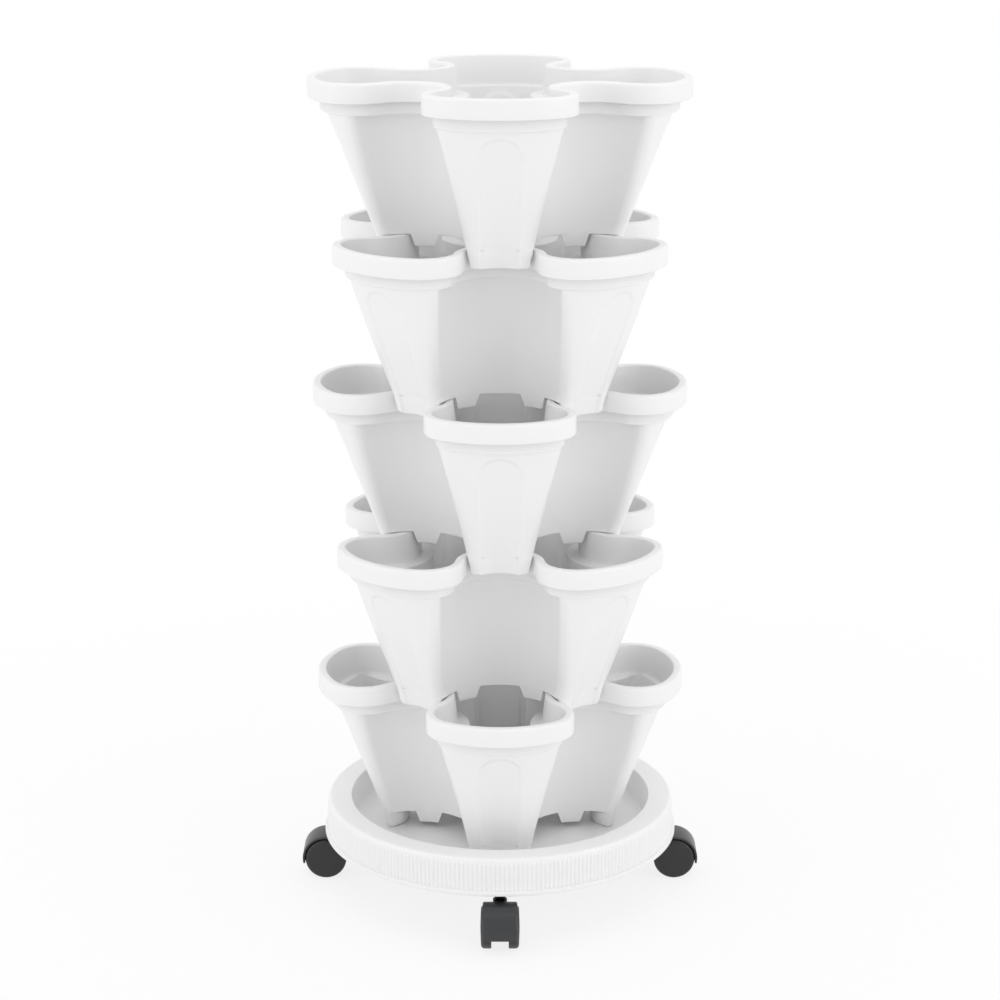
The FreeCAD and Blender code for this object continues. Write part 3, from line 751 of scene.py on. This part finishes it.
class PLANTER_OT_tray(bpy.types.Operator):
    """Makes the round tray with its fluted skirt, caster sockets and under ribs"""
    bl_idname = "planter.tray"
    bl_label = "Tray"

    def execute(self, context):
        made = sizes()
        body = outward(shell(turned_rings(tray_profile(), 720)))
        parts = [body, outward(flute_ring(made.flutes, made.flute_depth / MM))]
        under = TRAY_TOP - TRAY_WALL + 0.5
        for quarter_turn in range(len(PLACES)):
            socket = [tube(SOCKET_RADIUS, SOCKET_BORE, TRAY_BOTTOM, SOCKET_TOP, CASTER_REACH),
                      tube(SOCKET_RADIUS, 0.5, SOCKET_TOP - 0.2, under, CASTER_REACH)]
            for part in socket:
                vertices, quads, triangles = outward(part)
                parts.append((turned(vertices, 90 * quarter_turn), quads, triangles))
        for rib in range(UNDER_RIBS):
            low = (UNDER_RIB_INNER, -UNDER_RIB_HALF, TRAY_BOTTOM + UNDER_RIB_RECESS)
            high = (DISH_FOOT + 2.0, UNDER_RIB_HALF, TRAY_FLOOR - TRAY_WALL + 0.3)
            vertices, quads, triangles = outward(brick(low, high))
            parts.append((turned(vertices, 360 / UNDER_RIBS * (rib + 0.5)), quads, triangles))
        piece("tray_shell", parts, "tray", "tray", white_polypropylene())
        return {"FINISHED"}


# Casters

WHEEL_RADIUS = 20.0
WHEEL_TRAIL = 16.0
WHEEL_INNER = 8.0
WHEEL_FACE = 18.2
HOOD_INNER = 20.9
HOOD_OUTER = 22.8
HOOD_HALF = 16.0
HOOD_WEB = 7.5
HOOD_ANGLES = (-12.0, 165.0)
HOOD_INNER_ROUND = 0.3
WHEEL_SHOULDER = 3.5
HUB_RADIUS = 6.5
BOSS_RADIUS = 6.6
BOSS_BORE = 4.05
BOSS_HEIGHTS = (27.0, 40.5)
PLACES = {"right": 0.0, "back": 90.0, "left": 180.0, "front": 270.0}


def wheel(side):
    """One wheel turned about its axle: tread, rounded shoulder, shallow dish and a raised hub disc.

    The profile is (distance across, radius), and the ring runs round the axle.
    """
    start = WHEEL_FACE - 0.6 - WHEEL_SHOULDER
    turn = np.radians(np.linspace(90, 8, 12))
    profile = [[WHEEL_INNER, 2.6], [WHEEL_INNER, WHEEL_RADIUS - 0.6], [WHEEL_INNER + 0.6, WHEEL_RADIUS],
               [start - 3.0, WHEEL_RADIUS]]
    profile += [[start + WHEEL_SHOULDER * math.cos(t),
                 WHEEL_RADIUS - WHEEL_SHOULDER + WHEEL_SHOULDER * math.sin(t)] for t in turn]
    profile += [[WHEEL_FACE - 0.55, 15.6], [WHEEL_FACE - 0.35, 11.0], [WHEEL_FACE - 0.15, 6.0],
                [WHEEL_FACE, 1.0]]
    profile = np.array(profile)
    angle = np.linspace(0, 2 * math.pi, 96, endpoint=False)
    y = side * np.broadcast_to(profile[:, :1], (len(profile), 96))
    x = WHEEL_TRAIL + profile[:, 1:] * np.cos(angle)
    z = WHEEL_RADIUS + profile[:, 1:] * np.sin(angle)
    return shell(np.stack([x, y, z], axis=-1))


def hood_band(rounding):
    """The hood's curved plate: a rounded strip swept about the axle, closed at both ends."""
    corners = []
    soft = min(rounding, 0.5 * (HOOD_OUTER - HOOD_INNER) + 0.4)
    for side, level, start in ((1, 1, 0), (-1, 1, 90), (-1, -1, 180), (1, -1, 270)):
        edge, radius = (soft, HOOD_OUTER) if level > 0 else (HOOD_INNER_ROUND, HOOD_INNER)
        turn = np.radians(np.linspace(start, start + 90, 6))
        corners.append(np.stack([side * (HOOD_HALF - edge) + edge * np.cos(turn),
                                 radius - level * edge + edge * np.sin(turn)], axis=-1))
    outline = np.concatenate(corners)
    sweep = np.radians(np.linspace(*HOOD_ANGLES, 72))[:, None]
    x = WHEEL_TRAIL + outline[:, 1] * np.cos(sweep)
    z = WHEEL_RADIUS + outline[:, 1] * np.sin(sweep)
    return shell(np.stack([x, np.broadcast_to(outline[:, 0], x.shape), z], axis=-1))


def hood_web():
    """The middle web: a sector about the axle between the wheels."""
    sweep = np.radians(np.linspace(*HOOD_ANGLES, 48))
    radius = HOOD_INNER + 0.4
    x = np.concatenate([[WHEEL_TRAIL], WHEEL_TRAIL + radius * np.cos(sweep)])
    z = np.concatenate([[WHEEL_RADIUS], WHEEL_RADIUS + radius * np.sin(sweep)])
    outline = np.stack([x, z], axis=-1)
    soft = outline.mean(axis=0) + (outline - outline.mean(axis=0)) * 0.97
    layers = [(-HOOD_WEB, soft), (-HOOD_WEB + 0.5, outline), (HOOD_WEB - 0.5, outline), (HOOD_WEB, soft)]
    rings = [np.stack([ring[:, 0], np.full(len(ring), y), ring[:, 1]], axis=-1) for y, ring in layers]
    return shell(np.array(rings))


def across_cylinder(radius, half):
    """Closed cylinder about the axle with chamfered ends."""
    chamfer = 0.4
    angle = np.linspace(0, 2 * math.pi, 48, endpoint=False)
    layers = [(-half, radius - chamfer), (-half + chamfer, radius),
              (half - chamfer, radius), (half, radius - chamfer)]
    rings = [np.stack([WHEEL_TRAIL + reach * np.cos(angle), np.full(len(angle), y),
                       WHEEL_RADIUS + reach * np.sin(angle)], axis=-1) for y, reach in layers]
    return shell(np.array(rings))


class PLANTER_OT_casters(bpy.types.Operator):
    """Makes the four casters' hoods and twin wheels, and finishes their steel pieces"""
    bl_idname = "planter.casters"
    bl_label = "Casters"

    def execute(self, context):
        hood_look, wheel_look = charcoal_nylon(), black_nylon()
        steel, shade_painted_stem = zinc_steel(), shade_painted_steel()
        rounding = sizes().hood_round / MM
        hub = across_cylinder(HUB_RADIUS, HOOD_WEB + 0.3)
        boss = tube(BOSS_RADIUS, BOSS_BORE, *BOSS_HEIGHTS)
        hood = [outward(part) for part in (hood_band(rounding), hood_web(), hub, boss)]
        for place, turn in PLACES.items():
            angle = math.radians(turn)
            reach = (CASTER_REACH * math.cos(angle), CASTER_REACH * math.sin(angle), 0)
            placed = [(turned(v, turn, reach), q, t) for v, q, t in hood]
            piece(f"caster_{place}_hood_shell", placed, f"{place}_swivel", f"caster_{place}_hood",
                  hood_look)
            for name, side in (("wheel_a", 1), ("wheel_b", -1)):
                vertices, quads, triangles = outward(wheel(side))
                placed = [(turned(vertices, turn, reach), quads, triangles)]
                piece(f"caster_{place}_{name}_disc", placed, f"{place}_{name}", f"caster_{place}_{name}",
                      wheel_look)
            # Stems take the near-black steel, painted shade for the neck in the shadow under the tray
            finish_cad(f"caster_{place}_stem", shade_painted_stem)
            for name in ("grip_ring", "axle"):
                finish_cad(f"caster_{place}_{name}", steel)
        return {"FINISHED"}


def finish_cad(node, material):
    """A CAD node that is shown as it is, with its own material."""
    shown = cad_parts[node]
    shown.data.materials.clear()
    shown.data.materials.append(material)


# Studio

# Lengths in metres, lamps in watts
FLOOR_HALF = 6.0
SHADOW_REACH = (0.3, 1.1)
NEAR_WHITE = 0.82
ROOM_LIGHT = 0.89
WHITE = (1, 1, 1, 1)
LAMP_AIM = (0, 0, 0.4)
SIDE_LAMP_PLACE = (2.75, -1.35, 1.15)
SIDE_LAMP_SIZE = 1.8
KEY_POWER = 11.0
FILL_POWER = 13.0
TOP_LAMP_PLACE = (0.0, 0.3, 3.2)
TOP_LAMP_SIZE = 3.0
TOP_POWER = 12.0
CAMERA_PLACE = (0, -2.4111, 1.0659)
CAMERA_TILT = 74.14
CAMERA_LENS = 95.21


class PLANTER_OT_studio(bpy.types.Operator):
    """Makes the floor, the soft lamps, the world and the camera"""
    bl_idname = "planter.studio"
    bl_label = "Studio"

    def execute(self, context):
        scene = context.scene
        scene.view_settings.view_transform = "Standard"
        make_floor()
        make_world()
        across, back, height = SIDE_LAMP_PLACE
        make_lamp("key", (-across, back, height), SIDE_LAMP_SIZE, KEY_POWER)
        make_lamp("fill", (across, back, height), SIDE_LAMP_SIZE, FILL_POWER)
        make_lamp("top", TOP_LAMP_PLACE, TOP_LAMP_SIZE, TOP_POWER)
        make_camera()
        return {"FINISHED"}


def make_floor():
    """A pale floor that keeps the planter's shadow and reads as white to the camera farther off."""
    mesh = bpy.data.meshes.new("floor")
    corners = [(x * FLOOR_HALF, y * FLOOR_HALF, 0) for x, y in ((-1, -1), (1, -1), (1, 1), (-1, 1))]
    mesh.from_pydata(corners, [], [(0, 1, 2, 3)])
    floor = bpy.data.objects.new("floor", mesh)
    bpy.context.scene.collection.objects.link(floor)
    material, shader = plain_material("studio_floor", tuple(colours().floor), 0.9)
    tree = material.node_tree
    out = tree.nodes["Material Output"]
    path = add_node(material, "ShaderNodeLightPath")
    glossy = add_node(material, "ShaderNodeMath", [(path, "Is Camera Ray", 0), (path, "Is Glossy Ray", 1)],
                      operation="MAXIMUM")
    seen = add_node(material, "ShaderNodeMath", [(glossy, "Value", 0), (path, "Is Transmission Ray", 1)],
                    operation="MAXIMUM")
    # Near the casters part of the lit floor shows, with their shadow; farther off it is all white
    place = add_node(material, "ShaderNodeTexCoord")
    away = add_node(material, "ShaderNodeVectorMath", [(place, "Object", 0)], operation="LENGTH")
    whiteness = add_node(material, "ShaderNodeMapRange", [(away, "Value", "Value")],
                         in_From_Min=SHADOW_REACH[0], in_From_Max=SHADOW_REACH[1],
                         in_To_Min=NEAR_WHITE, in_To_Max=1.0)
    share = add_node(material, "ShaderNodeMath", [(seen, "Value", 0), (whiteness, "Result", 1)],
                     operation="MULTIPLY")
    white = add_node(material, "ShaderNodeEmission", in_Color=WHITE, in_Strength=1.0)
    blend = add_node(material, "ShaderNodeMixShader",
                     [(share, "Value", 0), (shader, "BSDF", 1), (white, "Emission", 2)])
    tree.links.new(blend.outputs["Shader"], out.inputs["Surface"])
    mesh.materials.append(material)


def make_world():
    """Even light from all round, which the camera sees as white."""
    world = bpy.data.worlds.new("studio")
    bpy.context.scene.world = world
    world.use_nodes = True
    tree = world.node_tree
    room = tree.nodes["Background"]
    room.inputs["Color"].default_value = WHITE
    room.inputs["Strength"].default_value = ROOM_LIGHT
    white = add_node(world, "ShaderNodeBackground", in_Color=WHITE, in_Strength=1.0)
    path = add_node(world, "ShaderNodeLightPath")
    blend = add_node(world, "ShaderNodeMixShader",
                     [(path, "Is Camera Ray", 0), (room, "Background", 1), (white, "Background", 2)])
    tree.links.new(blend.outputs["Shader"], tree.nodes["World Output"].inputs["Surface"])


def make_lamp(name, place, size, energy):
    """A square soft lamp that faces the middle of the tower."""
    light = bpy.data.lights.new(name, "AREA")
    light.size = size
    light.energy = energy
    lamp = bpy.data.objects.new(name, light)
    bpy.context.scene.collection.objects.link(lamp)
    lamp.location = place
    lamp.rotation_euler = (Vector(LAMP_AIM) - Vector(place)).to_track_quat("-Z", "Y").to_euler()


def make_camera():
    """The camera at the photograph's angle, looking slightly down at the tower."""
    camera = bpy.data.cameras.new("camera")
    camera.sensor_width = 36.0
    camera.lens = CAMERA_LENS
    camera.clip_end = 50
    seen = bpy.data.objects.new("camera", camera)
    bpy.context.scene.collection.objects.link(seen)
    seen.location = CAMERA_PLACE
    seen.rotation_euler = (math.radians(CAMERA_TILT), 0, 0)
    bpy.context.scene.camera = seen


class PLANTER_PT_panel(bpy.types.Panel):
    """Lists the planter's pieces"""
    bl_label = "Planter"
    bl_space_type = "VIEW_3D"
    bl_region_type = "UI"
    bl_category = "Planter"

    def draw(self, context):
        for operator in OPERATORS:
            self.layout.operator(operator.bl_idname)


OPERATORS = (PLANTER_OT_pots, PLANTER_OT_tray, PLANTER_OT_casters, PLANTER_OT_studio)
CLASSES = (PlanterSizes, PlanterColours, *OPERATORS, PLANTER_PT_panel)


def register():
    """Adds the classes and the scene's planter settings."""
    for kind in CLASSES:
        bpy.utils.register_class(kind)
    bpy.types.Scene.planter_sizes = bpy.props.PointerProperty(type=PlanterSizes)
    bpy.types.Scene.planter_colours = bpy.props.PointerProperty(type=PlanterColours)


def unregister():
    """Takes away what register added."""
    del bpy.types.Scene.planter_colours
    del bpy.types.Scene.planter_sizes
    for kind in reversed(CLASSES):
        bpy.utils.unregister_class(kind)


def main():
    """Builds the planter and its studio."""
    register()
    bpy.ops.planter.pots()
    bpy.ops.planter.tray()
    bpy.ops.planter.casters()
    bpy.ops.planter.studio()


if __name__ == "__main__":
    main()
